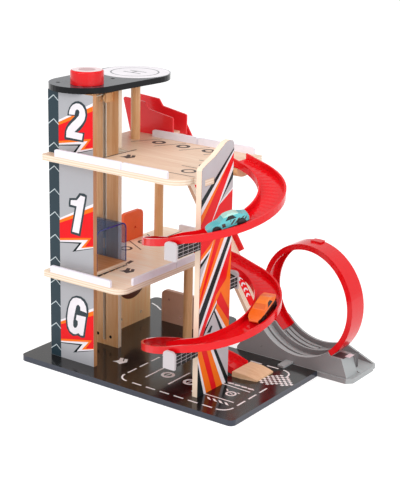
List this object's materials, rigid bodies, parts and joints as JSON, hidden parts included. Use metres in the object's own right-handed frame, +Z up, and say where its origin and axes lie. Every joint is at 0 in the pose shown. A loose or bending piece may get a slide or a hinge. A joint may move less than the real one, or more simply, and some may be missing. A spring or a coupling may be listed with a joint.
{
  "type": "toy parking garage with lift",
  "caption": "Plywood toy garage with a cord lift, parking floors, a spiral ramp, a launch ramp with a loop track, and small cars.",
  "frame": {"origin": "centre of the underside of the base board", "axes": "+Z up, +X to the right along the front edge of the base board, +Y from front to back"},
  "size_m": [0.461, 0.372, 0.4623],
  "materials": {
    "wood": "clear varnished birch plywood",
    "dark_paint": "satin dark slate paint on plywood",
    "silver_paint": "satin silver grey paint with printed lightning bands",
    "red_plastic": "glossy moulded plastic",
    "grey_plastic": "satin moulded plastic",
    "rail_paint": "pale paint on wood strip",
    "checker_print": "black and white checker print",
    "blue_acrylic": "clear blue tint",
    "teal_paint": "glossy lacquer",
    "orange_paint": "glossy lacquer",
    "rust_paint": "satin rust orange paint",
    "mauve_paint": "satin brown paint",
    "steel": "brushed",
    "tyre": "black wheels",
    "cord": "braided",
    "wedge_print": "printed racing stripes on varnished plywood"
  },
  "bodies": {
    "garage": {"back_wall_ground": "mauve_paint", "base_board": "dark_paint", "bobbin_fork": "steel", "bracket_back": "checker_print", "bracket_back_lip": "grey_plastic", "bracket_lower": "checker_print", "bracket_lower_lip": "grey_plastic", "bracket_upper": "checker_print", "bracket_upper_lip": "grey_plastic", "cord_drop": "cord", "cord_feed": "cord", "launch_ramp": "wood", "launch_ramp_rail": "red_plastic", "launcher_cheek_back": "red_plastic", "launcher_cheek_front": "red_plastic", "launcher_floor": "wood", "level_1_board": "wood", "level_2_board": "wood", "lift_rear_wall": "wood", "loop_cradle": "grey_plastic", "loop_track_left": "red_plastic", "loop_track_right": "red_plastic", "post_level_1": "wood", "post_level_2": "wood", "post_roof": "wood", "rail_level_1_back": "rail_paint", "rail_level_1_front": "rail_paint", "rail_level_1_right_back": "rail_paint", "rail_level_1_right_front": "rail_paint", "rail_level_2_back_left": "rail_paint", "rail_level_2_back_right": "rail_paint", "rail_level_2_front_left": "rail_paint", "rail_level_2_front_right": "rail_paint", "roof_board": "dark_paint", "runout_ramp": "wood", "side_wall_ground": "wood", "side_wall_level_1": "rust_paint", "spiral_ramp_1": "red_plastic", "spiral_ramp_2": "red_plastic", "spiral_ramp_3": "red_plastic", "spiral_ramp_4": "red_plastic", "spiral_rest": "wood", "tower_panel_ground": "silver_paint", "tower_panel_level_1": "silver_paint", "tower_panel_level_2": "silver_paint", "wedge_panel": "wedge_print"},
    "lift": {"lift_floor": "wood", "lift_canopy": "blue_acrylic", "lift_runner": "wood"},
    "knob": {"knob": "red_plastic", "knob_spindle": "wood"},
    "bobbin": {"guide_bobbin": "wood"},
    "teal_car": {"teal_car_body": "teal_paint"},
    "teal_front_wheels": {"teal_car_axle_front": "tyre"},
    "teal_rear_wheels": {"teal_car_axle_rear": "tyre"},
    "orange_car": {"orange_car_body": "orange_paint"},
    "orange_front_wheels": {"orange_car_axle_front": "tyre"},
    "orange_rear_wheels": {"orange_car_axle_rear": "tyre"}
  },
  "joints": [
    {"name": "lift_slide", "type": "slide", "parent": "garage", "child": "lift", "axis": [0, 0, 1], "range_m": [-0.144, 0.176], "deforming": ["cord_drop"]},
    {"name": "knob_turn", "type": "hinge", "parent": "garage", "child": "knob", "pos_m": [-0.1165, -0.111, 0.445], "axis": [0, 0, 1], "range_deg": [-1214, 1484]},
    {"name": "bobbin_turn", "type": "hinge", "parent": "garage", "child": "bobbin", "pos_m": [-0.1165, -0.072, 0.415], "axis": [1, 0, 0], "range_deg": [-1720, 2102]},
    {"name": "teal_car_roll", "type": "slide", "parent": "garage", "child": "teal_car", "axis": [-0.6422, -0.7051, -0.3008], "range_m": [-0.004, 0.003]},
    {"name": "teal_front_wheels_spin", "type": "hinge", "parent": "teal_car", "child": "teal_front_wheels", "pos_m": [0.15414, -0.16035, 0.27957], "axis": [0.7393, -0.6733, 0], "continuous": true},
    {"name": "teal_rear_wheels_spin", "type": "hinge", "parent": "teal_car", "child": "teal_rear_wheels", "pos_m": [0.17725, -0.13496, 0.2904], "axis": [0.7393, -0.6733, 0], "continuous": true},
    {"name": "orange_car_roll", "type": "slide", "parent": "garage", "child": "orange_car", "axis": [0.1358, -0.944, -0.3008], "range_m": [-0.004, 0.003]},
    {"name": "orange_front_wheels_spin", "type": "hinge", "parent": "orange_car", "child": "orange_front_wheels", "pos_m": [0.18901, -0.09966, 0.14028], "axis": [0.9898, 0.1424, 0], "continuous": true},
    {"name": "orange_rear_wheels_spin", "type": "hinge", "parent": "orange_car", "child": "orange_rear_wheels", "pos_m": [0.18412, -0.06567, 0.15111], "axis": [0.9898, 0.1424, 0], "continuous": true}
  ],
  "couplings": [
    {"joint": "knob_turn", "follows": "lift_slide", "rad_per_m": 147.06},
    {"joint": "bobbin_turn", "follows": "lift_slide", "rad_per_m": 208.33}
  ]
}
